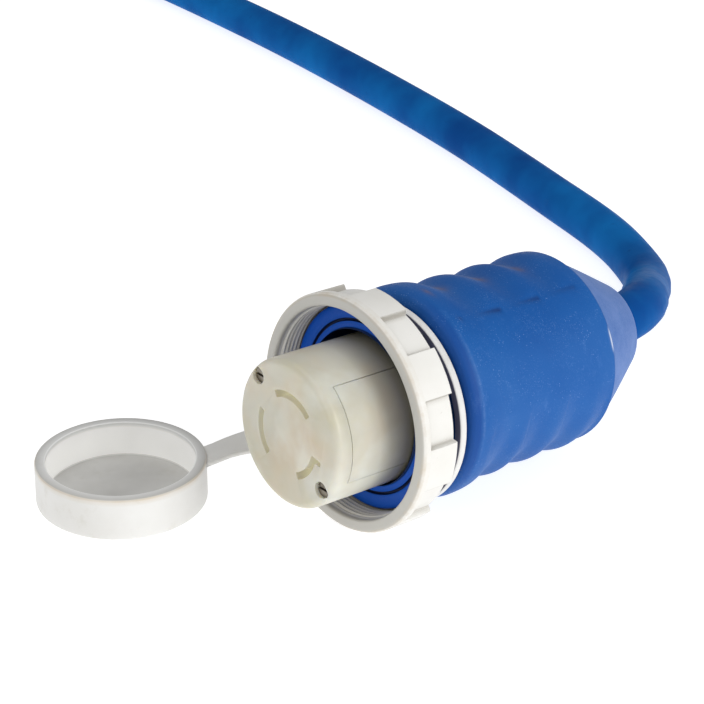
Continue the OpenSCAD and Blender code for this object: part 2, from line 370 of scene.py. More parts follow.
# ---- boot: matt moulded blue with fine speckle
def mat_boot():
    m = Mat("boot_blue", rough=0.5, spec=0.2)
    big = m.noise(22, 3, 0.55)
    fine = m.noise(1500, 4, 0.7)
    spk = m.noise(2600, 2, 0.6)
    patch = m.noise(70, 3, 0.6)
    base = m.ramp(big, [(0.3, (0.003, 0.08, 0.33)), (0.55, (0.007, 0.1, 0.37)), (0.8, (0.016, 0.122, 0.4))])
    light = m.ramp(spk, [(0.0, (0, 0, 0)), (0.6, (0, 0, 0)), (0.78, (1, 1, 1))])
    lp = m.rng(patch, 0.42, 0.7, 0.1, 0.85)
    k = m.math("MULTIPLY", light, lp)
    k = m.math("MAXIMUM", k, m.math("MULTIPLY", m.rng(m.voronoi(1150), 0.12, 0.26, 1.0, 0.0), m.rng(m.noise(130, 4, 0.7), 0.5, 0.66, 0.0, 0.85)))
    c = m.mix(k, base, (0.16, 0.3, 0.6))
    scr = m.noise(210, 5, 0.8, m.stretch((1, 1, 0.35), rot=(0.3, 0.5, 0.9)))
    c = m.mix(m.math("MULTIPLY", m.rng(scr, 0.56, 0.7, 0.0, 1.0), m.rng(m.noise(55, 3, 0.6), 0.45, 0.65, 0.0, 0.32)), c, (0.1, 0.24, 0.56))
    dirt = m.noise(38, 5, 0.7)
    dm = m.rng(dirt, 0.6, 0.8, 0.0, 0.35)
    c = m.mix(dm, c, (0.012, 0.06, 0.27))
    # painted shade: dark wedges at the ends of the upper finger grooves
    groove_end_shade = m.math("MULTIPLY", m.attr("groove_end_shade"), 0.72)
    c = m.mix(groove_end_shade, c, (0.008, 0.025, 0.12))
    c = m.mix(m.math("MULTIPLY", m.attr("face"), 0.8), c, (0.004, 0.1, 0.62))
    # painted shade: near-black in the front-face groove, on the body behind the loop ring and at the bore ends
    c = m.mix(m.attr("groove"), c, (0.001, 0.008, 0.05))
    # painted reflection: brownish patches in the top finger dips; the small spot near the front is a real dirt mark
    c = m.mix(m.math("MULTIPLY", m.attr("dip_reflection_and_dirt"), m.rng(m.noise(140, 4, 0.7), 0.3, 0.65, 0.25, 0.8)), c, (0.15, 0.11, 0.13))
    # painted shade: darker band on the front lip, on the side facing the camera
    c = m.mix(m.math("MULTIPLY", m.attr("front_lip_shade"), 0.6), c, (0.004, 0.045, 0.25))
    # painted highlight: lighter line along the front ridge, one side only
    c = m.mix(m.math("MULTIPLY", m.attr("ridge_highlight"), m.rng(m.noise(420, 4, 0.75), 0.45, 0.75, 0.06, 0.22)), c, (0.32, 0.45, 0.72))
    # painted highlight: near-white sliver on the seam step at one angle
    c = m.mix(m.attr("seam_highlight"), c, (0.8, 0.86, 0.95))
    c = m.mix(m.math("MULTIPLY", m.attr("seam"), 0.95), c, (0.002, 0.02, 0.13))
    cone = m.attr("cone")
    c = m.mix(m.math("MULTIPLY", cone, m.rng(m.noise(90, 4, 0.65), 0.3, 0.7, 0.35, 0.85)), c, (0.12, 0.22, 0.52))
    m.color(c)
    m.rough(m.rng(fine, 0.3, 0.7, 0.42, 0.6))
    m.bump(fine, 0.00009, 0.7)
    m.bump(patch, 0.0002, 0.25)
    return m.m


def mat_jacket():
    m = Mat("jacket_blue", rough=0.4, spec=0.004)
    big = m.noise(30, 3, 0.5)
    st = m.noise(260, 3, 0.6, m.stretch((1, 1, 1)))
    base = m.ramp(big, [(0.3, (0.006, 0.075, 0.3)), (0.7, (0.008, 0.155, 0.47))])
    scuff = m.noise(120, 5, 0.75)
    c = m.mix(m.rng(scuff, 0.62, 0.8, 0.0, 0.55), base, (0.006, 0.03, 0.15))
    # painted reflection: brownish-grey patches, scattered by noise
    c = m.mix(m.rng(m.noise(75, 4, 0.7), 0.66, 0.85, 0.0, 0.12), c, (0.14, 0.12, 0.12))
    c = m.mix(m.math("MULTIPLY", m.rng(m.noise(26, 3, 0.55, m.stretch((1, 1, 1), loc=(0.4, 0.9, 0.2))), 0.5, 0.66, 0.0, 0.45), 0.8), c, (0.004, 0.045, 0.22))
    m.color(c)
    m.rough(m.rng(st, 0.3, 0.7, 0.3, 0.45))
    m.bump(st, 0.0001, 0.15)
    return m.m


# ---- ring: used off-white plastic with dirt spots, and painted shade in its corners
def mat_ring():
    m = Mat("ring_white", rough=0.42, spec=0.5)
    big = m.noise(28, 4, 0.6)
    base = m.ramp(big, [(0.3, (0.76, 0.745, 0.7)), (0.6, (0.83, 0.82, 0.785))])
    spots = m.noise(420, 5, 0.75)
    c = m.mix(m.rng(spots, 0.64, 0.78, 0.0, 0.5), base, (0.42, 0.38, 0.3))
    # painted shade: greyer front face and front inner edge of the ring
    c = m.mix(m.math("MULTIPLY", m.attr("front"), 0.9), c, (0.5, 0.49, 0.455))
    edge = m.attr("edge")
    en = m.noise(160, 4, 0.7)
    c = m.mix(m.math("MULTIPLY", edge, m.rng(en, 0.4, 0.7, 0.06, 0.5)), c, (0.55, 0.44, 0.29))
    # painted shade: dark line on one flank of each grip block
    c = m.mix(m.math("MULTIPLY", m.attr("flank_shade"), 0.65), c, (0.2, 0.18, 0.14))
    # painted shade: brownish-grey darkening in corners, from ambient occlusion
    ao = m.ao(0.0025)
    corner_shade = m.rng(ao, 0.3, 0.9, 0.9, 0.0)
    c = m.mix(corner_shade, c, (0.3, 0.27, 0.22))
    m.color(c)
    m.rough(m.rng(big, 0.3, 0.7, 0.34, 0.5))
    m.bump(m.noise(700, 3, 0.6), 0.00005, 0.5)
    return m.m


# ---- insert: cream translucent nylon
def mat_insert(name="insert_cream", inner=False):
    m = Mat(name, rough=0.34, spec=0.5)
    big = m.noise(26, 4, 0.6, dist=0.6)
    base = m.ramp(big, [(0.28, (0.53, 0.505, 0.39)), (0.5, (0.6, 0.58, 0.49)), (0.75, (0.65, 0.64, 0.575))])
    tan = m.noise(34, 3, 0.5, m.stretch((1, 1, 1), loc=(0.31, 0.1, 0.7)))
    c = m.mix(m.rng(tan, 0.46, 0.66, 0.0, 0.62), base, (0.64, 0.52, 0.37))
    ye = m.noise(60, 3, 0.5)
    c = m.mix(m.rng(ye, 0.52, 0.72, 0.0, 0.3), c, (0.58, 0.55, 0.36))
    c = m.mix(m.rng(m.noise(48, 3, 0.5, m.stretch((1, 1, 1), loc=(0.7, 0.2, 0.1))), 0.52, 0.7, 0.0, 0.6), c, (0.74, 0.75, 0.68))
    if inner:
        c = m.mix(0.5, c, (0.5, 0.42, 0.18))
    spots = m.noise(520, 4, 0.7)
    c = m.mix(m.rng(spots, 0.68, 0.8, 0.0, 0.4), c, (0.42, 0.36, 0.26))
    m.color(c)
    # painted shade: the insert turns darker the deeper it sits inside the ring
    sx = m.n("ShaderNodeSeparateXYZ")
    m.link(m.obj, sx.inputs[0])
    along_x = m.math("SUBTRACT", m.math("MULTIPLY", m.math("SUBTRACT", sx.outputs[0], OX / 1000), CT), m.math("MULTIPLY", m.math("SUBTRACT", sx.outputs[2], AXH / 1000), ST))
    c = m.mix(m.rng(along_x, -0.005, 0.007, 0.0, 0.8), c, (0.2, 0.18, 0.13))
    # painted light: slot walls are lightened and made to glow faintly
    slot_glow = m.attr("slotwall_glow")
    c = m.mix(m.math("MULTIPLY", slot_glow, 0.85), c, (0.8, 0.78, 0.58))
    m.bs.inputs["Emission Color"].default_value = (0.77, 0.76, 0.6, 1)
    m.link(m.math("MULTIPLY", slot_glow, 0.34), m.bs.inputs["Emission Strength"])
    m.color(c)
    m.bs.inputs["Subsurface Weight"].default_value = 0.35
    m.bs.inputs["Subsurface Radius"].default_value = (0.006, 0.005, 0.003)
    m.bs.inputs["Subsurface Scale"].default_value = 0.8
    m.rough(m.rng(big, 0.3, 0.7, 0.27, 0.42))
    m.bump(m.noise(240, 3, 0.6), 0.0001, 0.3)
    return m.m


def mat_cap():
    m = Mat("cap_white", rough=0.5, spec=0.42)
    big = m.noise(30, 4, 0.6)
    base = m.ramp(big, [(0.3, (0.74, 0.73, 0.7)), (0.65, (0.81, 0.805, 0.785))])
    sm = m.noise(85, 5, 0.7)
    c = m.mix(m.rng(sm, 0.55, 0.75, 0.0, 0.45), base, (0.6, 0.575, 0.5))
    edge = m.attr("edge")
    c = m.mix(m.math("MULTIPLY", edge, m.rng(m.noise(45, 3, 0.6), 0.35, 0.7, 0.1, 0.7)), c, (0.6, 0.46, 0.27))
    rim = m.attr("rimgrey")
    c = m.mix(rim, c, (0.3, 0.3, 0.29))
    # painted shade: mottled darker floor inside the cup
    c = m.mix(m.math("MULTIPLY", m.attr("capfloor_shade"), m.rng(m.noise(40, 3, 0.6), 0.3, 0.7, 0.3, 0.6)), c, (0.36, 0.355, 0.34))
    # painted light: the cup's inner wall is brightened in colour
    c = m.mix(m.math("MULTIPLY", m.attr("capwall_painted_light"), 0.8), c, (0.93, 0.925, 0.91))
    c = m.mix(m.attr("lip"), c, (0.95, 0.95, 0.94))
    # painted shade: near-black on the loop's rear inner part, in the gap behind the locking ring
    c = m.mix(m.attr("gap_shade"), c, (0.05, 0.05, 0.1))
    m.color(c)
    # light that comes through the thin wall
    m.bs.inputs["Emission Color"].default_value = (0.95, 0.94, 0.9, 1)
    m.link(m.math("MULTIPLY", m.attr("capwall_painted_light"), m.rng(big, 0.35, 0.65, 0.11, 0.2)), m.bs.inputs["Emission Strength"])
    m.rough(m.rng(big, 0.3, 0.7, 0.45, 0.58))
    m.bump(m.noise(900, 3, 0.6), 0.00005, 0.5)
    return m.m


def mat_metal(name, c0, c1, rough=0.3, dirt=(0.1, 0.08, 0.06)):
    m = Mat(name, rough=rough, metal=1.0)
    n1 = m.noise(300, 4, 0.6)
    c = m.ramp(n1, [(0.3, c0), (0.7, c1)])
    c = m.mix(m.rng(m.noise(480, 5, 0.75), 0.58, 0.75, 0.0, 0.6), c, dirt)
    m.color(c)
    m.rough(m.rng(m.noise(900, 3, 0.6), 0.3, 0.7, rough - 0.08, rough + 0.15))
    m.bump(m.noise(1400, 3, 0.6), 0.00004, 0.5)
    return m.m


def mat_plain(name, c0, c1, rough, scale=200, bump=0.00008):
    m = Mat(name, rough=rough)
    m.color(m.ramp(m.noise(scale, 4, 0.6), [(0.3, c0), (0.7, c1)]))
    m.rough(m.rng(m.noise(scale * 2, 3, 0.6), 0.3, 0.7, rough - 0.07, rough + 0.1))
    m.bump(m.noise(scale * 4, 3, 0.6), bump, 0.5)
    return m.m


def mat_tie():
    m = Mat("tie_black", rough=0.8, spec=0.3)
    w = m.n("ShaderNodeTexWave")
    w.inputs["Scale"].default_value = 700
    m.link(m.obj, w.inputs["Vector"])
    m.color(m.ramp(w.outputs["Fac"], [(0.2, (0.01, 0.01, 0.012)), (0.8, (0.05, 0.05, 0.055))]))
    m.bump(w.outputs["Fac"], 0.0002, 0.7)
    return m.m


MATS = {
    "boot_blue": mat_boot(), "jacket_blue": mat_jacket(), "ring_white": mat_ring(), "insert_cream": mat_insert(), "cap_white": mat_cap(),
    "brass": mat_metal("brass", (0.62, 0.44, 0.18), (0.75, 0.58, 0.28), 0.32, (0.2, 0.13, 0.05)),
    "steel": mat_metal("steel", (0.11, 0.095, 0.075), (0.34, 0.31, 0.26), 0.32, (0.03, 0.025, 0.02)),
    "tinned": mat_metal("tinned", (0.6, 0.6, 0.6), (0.75, 0.75, 0.74), 0.25),
    "core_black": mat_plain("core_black", (0.012, 0.012, 0.014), (0.03, 0.03, 0.032), 0.4),
    "core_white": mat_plain("core_white", (0.7, 0.7, 0.68), (0.8, 0.8, 0.78), 0.4),
    "core_green": mat_plain("core_green", (0.01, 0.16, 0.05), (0.02, 0.24, 0.08), 0.4),
    "tie_black": mat_tie(),
}
SLOT = {s["node"]: s["material_slot"] for s in frame["record"]["subparts"]}
for n, ob in frame["nodes"].items():
    set_mat(ob, MATS[SLOT[n]])

# ---------------------------------------------------------------- camera
right = Vector((0.76508, -0.6439, 0.00659))
up = Vector((0.28337, 0.34585, 0.89448))
fwd = Vector((0.57823, 0.68248, -0.44707))
cam_data = bpy.data.cameras.new("camera")
cam_data.sensor_width = 36
cam_data.sensor_fit = "HORIZONTAL"
cam_data.lens = 36 * 2412.51 / 704
cam_data.clip_start, cam_data.clip_end = 0.05, 20
cam = bpy.data.objects.new("camera", cam_data)
bpy.context.scene.collection.objects.link(cam)
cpos = Vector((-461.706 + OX, -550.448 + OY, 424.866 + 0.4)) / 1000
rot = Matrix((right, up, -fwd)).transposed().to_4x4()
cam.matrix_world = Matrix.Translation(cpos) @ rot
bpy.context.scene.camera = cam


# ---------------------------------------------------------------- cable
def along(x):
    return [x * CT, 0, AXH - x * ST]


route = [along(62), along(82), along(102), along(118)] + [
    [131.9, 1.3, 35.5], [145.2, 5.2, 33.8], [157.5, 11.3, 31.2], [168.5, 19.3, 27.7], [178.4, 28.1, 23.4],
    [188.5, 36.6, 18.7], [198.8, 45.2, 14.8], [208.4, 54.9, 12], [216.6, 66.1, 10.2], [223.5, 78.3, 9.5],
    [229.1, 91.1, 9.5], [233.7, 104.3, 9.5], [237.5, 117.8, 9.5], [240.8, 131.4, 9.5], [244, 145, 9.5],
    [250.6, 172.3, 9.5], [259.6, 212, 9.5], [265.4, 243, 9.5], [270.8, 276.5, 9.5], [276.2, 314, 9.5], [281.2, 354, 9.5],
    [285.3, 394, 9.5], [288.4, 436, 9.5], [290.9, 480, 9.5], [292.4, 524, 9.5], [293.2, 568, 9.8],
    [293.5, 612, 10.4], [293.5, 668, 10.7]]
COIL = (184.0, 726.0)


def coil_point(a):
    r = 109.5 - 19 * smooth(a, 290, 360) + 19 * smooth(a, 940, 1010)
    z = 10.7 + 19 * smooth(a, 600, 670)
    return [COIL[0] + r * math.cos(math.radians(a)), COIL[1] + r * math.sin(math.radians(a)), float(z)]


def catmull(pts, per):
    """A smooth line through points, by arc length."""
    P = np.array([2 * np.array(pts[0]) - np.array(pts[1])] + [np.array(p) for p in pts] + [2 * np.array(pts[-1]) - np.array(pts[-2])], float)
    out = []
    for i in range(1, len(P) - 2):
        p0, p1, p2, p3 = P[i - 1], P[i], P[i + 1], P[i + 2]
        t0 = 0
        t1 = t0 + np.linalg.norm(p1 - p0) ** 0.5
        t2 = t1 + np.linalg.norm(p2 - p1) ** 0.5
        t3 = t2 + np.linalg.norm(p3 - p2) ** 0.5
        k = max(2, int(np.linalg.norm(p2 - p1) / per))
        for t in np.linspace(t1, t2, k, endpoint=False):
            a1 = (t1 - t) / (t1 - t0) * p0 + (t - t0) / (t1 - t0) * p1
            a2 = (t2 - t) / (t2 - t1) * p1 + (t - t1) / (t2 - t1) * p2
            a3 = (t3 - t) / (t3 - t2) * p2 + (t - t2) / (t3 - t2) * p3
            b1 = (t2 - t) / (t2 - t0) * a1 + (t - t0) / (t2 - t0) * a2
            b2 = (t3 - t) / (t3 - t1) * a2 + (t - t1) / (t3 - t1) * a3
            out.append((t2 - t) / (t2 - t1) * b1 + (t - t1) / (t2 - t1) * b2)
    out.append(P[-2])
    return np.array(out)


CABLE_END_DEG = 1260.0
line = catmull(route + [coil_point(0.0)], 4.0)
turns = np.array([coil_point(a) for a in np.arange(3, CABLE_END_DEG - 1, 3)] + [coil_point(CABLE_END_DEG)])
line = np.vstack([line, turns])
pts = from_floor(line)
cu = bpy.data.curves.new("cable", "CURVE")
cu.dimensions = "3D"
sp = cu.splines.new("POLY")
sp.points.add(len(pts) - 1)
for i, p in enumerate(pts):
    sp.points[i].co = (*p, 1)
cu.bevel_depth = 0.0095
cu.bevel_resolution = 7
cu.use_fill_caps = True
cu.twist_mode = "MINIMUM"
for s in cu.splines:
    s.use_smooth = True
cable = bpy.data.objects.new("cable", cu)
bpy.context.scene.collection.objects.link(cable)
cable.data.materials.append(MATS["jacket_blue"])
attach(cable, "connector")
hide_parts("cable_lead", "cable_coil")

# ---------------------------------------------------------------- grip boot
END = 126.5
SK = np.array([(26.3, 30.2), (26.35, 32.5), (26.5, 34.6), (26.9, 35.9), (27.7, 36.8), (29.3, 37.45), (31.2, 37.78), (33, 37.75), (38, 37.3), (44, 36.6), (52, 36.1),
               (60, 35.8), (70, 35.7), (80, 35.8), (88, 35.85), (93, 35.75), (95.2, 35.6), (95.75, 35.45), (96.05, 35.15), (96.2, 34.7), (96.3, 34.25), (96.6, 34.0), (97.2, 33.72),
               (124.6, 18.2), (125.6, 17.6), (126.1, 17.1), (126.4, 16.6), (126.5, 16.0)])
GUP, GDN = [45.6, 64.6, 82.2], [44.6, 61.0, 78.2, 94.6]


def boot_drop(x, a):
    """How far finger grooves cut the skin at x and angle a."""
    d = np.zeros(np.broadcast(x, a).shape)
    wu = np.cos(np.clip(np.abs(angdiff(a, 122)) / 62, 0, 1) * pi / 2) ** 0.8
    wd = np.cos(np.clip(np.abs(angdiff(a, -58)) / 61, 0, 1) * pi / 2) ** 0.8
    for gx in GUP:
        t = np.clip(np.abs(x - gx) / 9.4, 0, 1)
        d += 2.9 * wu * (1 - smooth(t, 0, 1)) ** 1.1
    for gx, dep in zip(GDN, (2.3, 2.3, 2.4, 1.6)):
        t = np.clip(np.abs(x - gx) / 8.7, 0, 1)
        d += dep * wd * (1 - smooth(t, 0, 1)) ** 1.1
    # short dark ends of the upper grooves
    for ex, ln, dep in ((54.7, 12.0, 0.55), (73.0, 12.0, 0.55), (90.5, 12.0, 0.35), (36.2, 4.0, 0.5)):
        u = (x - (ex - ln)) / ln
        wid = 1.2 + 2.0 * np.clip(u, 0, 1)
        cen = 61.6 + 1.4 * np.clip(1 - u, 0, 1)
        prof = smooth(u, 0, 0.9) * (1 - smooth(x, ex - 0.4, ex + 0.9))
        d += dep * prof * np.exp(-(angdiff(a, cen) / wid) ** 2)
    # lens ends of the lower grooves
    for ex, dep in ((39.3, 0.35), (58.0, 0.35), (76.5, 0.4)):
        ax = np.exp(-(angdiff(a, -14) / 15.0) ** 4)
        front = ex - 3.7 + 0.0045 * (angdiff(a, -12)) ** 2
        d += dep * ax * smooth(x, front - 0.5, front + 0.5) * (1 - smooth(x, front + 1.0, front + 9))
    return d


from itertools import chain
xs = list(SK[:14, 0]) + list(np.arange(39, 94.4, 0.72)) + [94.8, 95.4, 95.6, 95.9] + list(SK[16:, 0])
xs = sorted(set([round(v, 4) for v in xs] + [round(v, 4) for v in np.arange(27, 39, 0.8)] + [round(v, 4) for v in np.arange(98.5, 124, 1.2)]))
xs = np.array([v for v in xs if v >= SK[0, 0] and v <= END])


def pchip(xk, yk, x):
    """Monotone cubic interpolation."""
    h = np.diff(xk)
    d = np.diff(yk) / h
    m = np.zeros(len(xk))
    m[1:-1] = np.where(d[:-1] * d[1:] > 0, 2 * d[:-1] * d[1:] / np.where(np.abs(d[:-1] + d[1:]) < 1e-12, 1, d[:-1] + d[1:]), 0)
    m[0], m[-1] = d[0], d[-1]
    i = np.clip(np.searchsorted(xk, x) - 1, 0, len(xk) - 2)
    t = (x - xk[i]) / h[i]
    return yk[i] * (1 + 2 * t) * (1 - t) ** 2 + m[i] * h[i] * t * (1 - t) ** 2 + yk[i + 1] * t * t * (3 - 2 * t) + m[i + 1] * h[i] * t * t * (t - 1)


rs = pchip(SK[:, 0], SK[:, 1], xs)
na = 300
ang = np.linspace(0, 360, na, endpoint=False)
front = np.array([(8.6, 27.6), (9.6, 27.75), (9.95, 28.1), (10, 28.5), (10, 29.9), (10.15, 30.05), (11.0, 30.1), (11.15, 30.3), (11.15, 30.75), (11.0, 30.95), (10.15, 31.0), (10, 31.2),
                  (9.8, 31.9), (9.65, 33.2), (9.65, 34.4), (9.8, 35.4), (10.2, 36.0), (10.9, 36.2), (12.0, 36.2), (12.3, 35.9), (12.35, 33), (12.4, 30.7), (12.7, 30.3), (13.4, 30.2), (20, 30.2), (25.6, 30.2)])
inner = np.array([(126.5, 13), (126.5, 10.6), (126.2, 10), (125.6, 9.6), (118, 9.6), (92, 24), (84, 28), (40, 28), (12.4, 28), (9.2, 27.6)])
cols = []
groove_end_shade_mask = []
cmask = []
extra = {k: [] for k in ("dip_reflection_and_dirt", "front_lip_shade", "ridge_highlight", "seam_highlight", "seam", "groove", "face")}
for t in ang:
    r = rs - boot_drop(xs, t) * smooth(xs, 33, 38) * (1 - smooth(xs, 93, 98))
    x_all = np.concatenate([front[:, 0], xs, inner[:, 0]])
    r_all = np.concatenate([front[:, 1], r, inner[:, 1]])
    cols.append(from_axis(pol(x_all, r_all, t)))
    # mask of the painted shade: dark wedges at the ends of the upper finger grooves
    mk = np.zeros(len(x_all))
    for ex, ln, dep in ((54.7, 12.0, 1), (73.0, 12.0, 0.8), (90.5, 12.0, 0.45), (36.2, 3.5, 0.6)):
        u = (x_all - (ex - ln)) / ln
        wid = 0.5 + 1.1 * np.clip(u, 0, 1)
        mk += dep * smooth(u, 0.1, 0.95) * (1 - smooth(x_all, ex - 0.3, ex + 0.8)) * np.exp(-(angdiff(t, 61.6 + 1.6 * np.clip(1 - u, 0, 1)) / wid) ** 2)
    groove_end_shade_mask.append(np.clip(mk, 0, 1))
    outer = r_all > np.where(x_all > 97, 10.7, 30.5)
    cmask.append(smooth(x_all, 96.2, 97) * outer)
    # painted reflection in the three top dips, plus one real dirt spot near x 34
    dip_reflection_and_dirt_mask = sum(np.exp(-((x_all - bx) / 3.0) ** 2) * np.exp(-(angdiff(t, ba) / 6.0) ** 2) for bx, ba in ((44.5, 97), (62.0, 95), (79.5, 94)))
    dip_reflection_and_dirt_mask = dip_reflection_and_dirt_mask + 0.9 * np.exp(-((x_all - 34) / 1.2) ** 2) * np.exp(-(angdiff(t, 86) / 4.5) ** 2)
    extra["dip_reflection_and_dirt"].append(np.clip(dip_reflection_and_dirt_mask, 0, 1) * outer)
    side = np.exp(-(angdiff(t, 15) / 62.0) ** 4)
    # painted shade on the front lip, camera side only
    extra["front_lip_shade"].append(side * (1 - smooth(x_all, 29.6, 30.8)) * (x_all > 26) * outer)
    # painted highlight along the front ridge
    extra["ridge_highlight"].append(np.exp(-(angdiff(t, 20) / 34.0) ** 4) * np.exp(-((x_all - 30.9) / 0.55) ** 2) * outer)
    # painted highlight: a short sliver at the seam step
    extra["seam_highlight"].append(0.9 * np.exp(-(angdiff(t, 25.5) / 6.0) ** 4) * np.exp(-((x_all - 95.6) / 0.45) ** 2) * outer)
    idx = np.arange(len(x_all))
    # painted shade in recesses: the front-face groove, the body behind the loop ring, both bore ends
    extra["groove"].append(((idx >= 5) & (idx <= 10)).astype(float) + 0.75 * ((idx >= 17) & (idx <= 25)) + 0.85 * (idx <= 1) + 0.8 * (idx >= len(x_all) - 3))
    extra["face"].append(((idx >= 11) & (idx <= 16)) * 1.0 + ((idx >= 2) & (idx <= 4)) * 1.0)
    extra["seam"].append(np.exp(-((x_all - 96.45) / 0.5) ** 2) * outer)
grip = grid("grip_boot_skin", np.stack(cols), close_u=True, close_v=True, fix=False)
vgroup(grip, "groove_end_shade", np.concatenate(groove_end_shade_mask))
vgroup(grip, "cone", np.concatenate(cmask))
for k, v in extra.items():
    vgroup(grip, k, np.concatenate(v))
fix_normals(grip)
set_mat(grip, MATS["boot_blue"])
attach(grip, "connector")
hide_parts("grip_boot")

# ---------------------------------------------------------------- locking ring
HALF = 11.25
CEN = [-7.5 + 45 * k for k in range(8)]


def block_mask(a):
    """1 on a grip block, 0 in a recess, with crisp but rounded flanks."""
    d = np.min(np.abs(np.stack([angdiff(a, c) for c in CEN])), axis=0)
    return 1 - smooth(d, HALF - 0.28, HALF + 0.28)


angs = []
for c in CEN:
    for s in (-1, 1):
        e = c + s * HALF
        angs += [e + k for k in (-1.2, -0.6, -0.36, -0.28, -0.2, -0.12, -0.04, 0.04, 0.12, 0.2, 0.28, 0.36, 0.6, 1.2)]
angs += list(np.arange(0, 360, 1.5))
angs = np.array(sorted(set(round(v % 360, 3) for v in angs)))
PITCH = 1.75


def ring_profile(a):
    b = float(block_mask(np.array(a)))
    top = 42.0
    low = 40.0 + (top - 40.0) * b
    out = [(0.0, 38.9), (0.0, 39.6), (0.0, 40.6), (0.06, 40.95), (0.3, 41.3), (0.62, 41.62), (0.9, 41.85), (1.25, 41.97), (1.6, top), (2.4, top), (3.0, top), (3.14, top - 0.02)]
    out += [(3.24, low + (top - low) * 0.9 - 0.02), (3.32, low + (top - low) * 0.45), (3.4, low + 0.05 * (1 - b)), (3.6, low), (5, low), (8, low), (11.5, low), (13.6, low), (14.5, low), (14.8, low - 0.06), (14.94, low - 0.2), (15.0, low - 0.45)]
    out += [(15.0, low - 1.2), (15, 38), (15, 36), (15, 33), (15, 31.6), (14.85, 31.3), (14.5, 31.2), (13.3, 31.2), (12.9, 31.3), (12.75, 31.6), (12.7, 33), (12.7, 36), (12.6, 36.9)]
    # thread, from the back forward
    n = 46
    for k in range(n):
        x = 12.3 - k * (12.3 - 1.9) / (n - 1)
        ph = (x / PITCH - a / 360.0) % 1.0
        tooth = 0.5 - 0.5 * math.cos(2 * pi * ph)
        amp = 0.62 * smooth(x, 2.2, 3.6) * (1 - 0.25 * smooth(x, 10.8, 12))
        out.append((x, 37.25 - float(amp) * (tooth ** 0.55)))
    out += [(1.5, 37.25), (0.9, 37.3), (0.5, 37.4), (0.2, 37.6), (0.05, 37.85), (0.0, 38.2)]
    return out


gr = np.stack([from_axis(pol(np.array([q[0] for q in ring_profile(a)]), np.array([q[1] for q in ring_profile(a)]), a)) for a in angs])
ringo = grid("locking_ring_detail", gr, close_u=True, close_v=True, fix=False)
prof0 = ring_profile(0.0)
ed = np.array([1.0 if (0.03 < q[0] < 1.3 and q[1] > 40.9) else (0.35 if 1.3 <= q[0] < 3.3 and q[1] > 41 else 0.0) for q in prof0])
vgroup(ringo, "edge", np.tile(ed, len(angs)))
# mask of the painted shade on the ring's front face and front inner edge
front_face_shade = np.array([1.0 if (q[0] < 0.35 and q[1] < 41.4) or (q[0] < 1.6 and q[1] < 38.5) else 0.0 for q in prof0])
vgroup(ringo, "front", np.tile(front_face_shade, len(angs)))
# painted shade on one flank of each block only
low = np.array([np.max(np.exp(-(angdiff(a, np.array(CEN) - HALF) / 0.35) ** 2)) for a in angs])
body = np.array([1.0 if (q[0] > 3.25 and q[0] < 14.9 and 39.0 < q[1] and i < 30) else 0.0 for i, q in enumerate(prof0)])
vgroup(ringo, "flank_shade", (low[:, None] * body[None, :]).ravel())
fix_normals(ringo)
ringo.data.set_sharp_from_angle(angle=math.radians(50))
set_mat(ringo, MATS["ring_white"])
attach(ringo, "ring")
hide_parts("locking_ring")


# ---------------------------------------------------------------- insert
def prism(name, outline, x0, x1, place):
    """A closed prism along the axis; outline holds points (r, angle)."""
    o = np.asarray(outline, float)
    g = np.stack([place(pol(np.full(len(o), x), o[:, 0], o[:, 1])) for x in (x0, x1)])
    return grid(name, g, close_v=True, cap=True)


def slot_outline(r0, r1, a0, a1, rc, leg=None):
    """An arc slot with rounded ends, as (r, angle)."""
    rm = (r0 + r1) / 2
    pts2 = []
    corners = [(r0, a0), (r1, a0), (r1, a1), (r0, a1)]
    if leg:
        corners = [(r0, a0), (r1, a0), (r1, a1 - leg[1]), (leg[0], a1 - leg[1]), (leg[0], a1), (r0, a1)]
    flat = []
    n = len(corners)
    for i in range(n):
        ra, aa = corners[i]
        rb, ab = corners[(i + 1) % n]
        k = max(1, int(abs(ab - aa) / 4))
        for j in range(k):
            flat.append((ra + (rb - ra) * j / k, aa + (ab - aa) * j / k, j == 0))
    xy = [(r * math.cos(math.radians(a)), r * math.sin(math.radians(a))) for r, a, _ in flat]
    rad = [rc if c else 0 for _, _, c in flat]
    q = rounded(xy, rad, 4)
    return [(math.hypot(x, y), math.degrees(math.atan2(y, x))) for x, y in q]


def circle_outline(r, a, rad, n=36):
    cx, cy = r * math.cos(math.radians(a)), r * math.sin(math.radians(a))
    return [(math.hypot(cx + rad * math.cos(t), cy + rad * math.sin(t)), math.degrees(math.atan2(cy + rad * math.sin(t), cx + rad * math.cos(t)))) for t in np.linspace(0, 2 * pi, n, endpoint=False)]


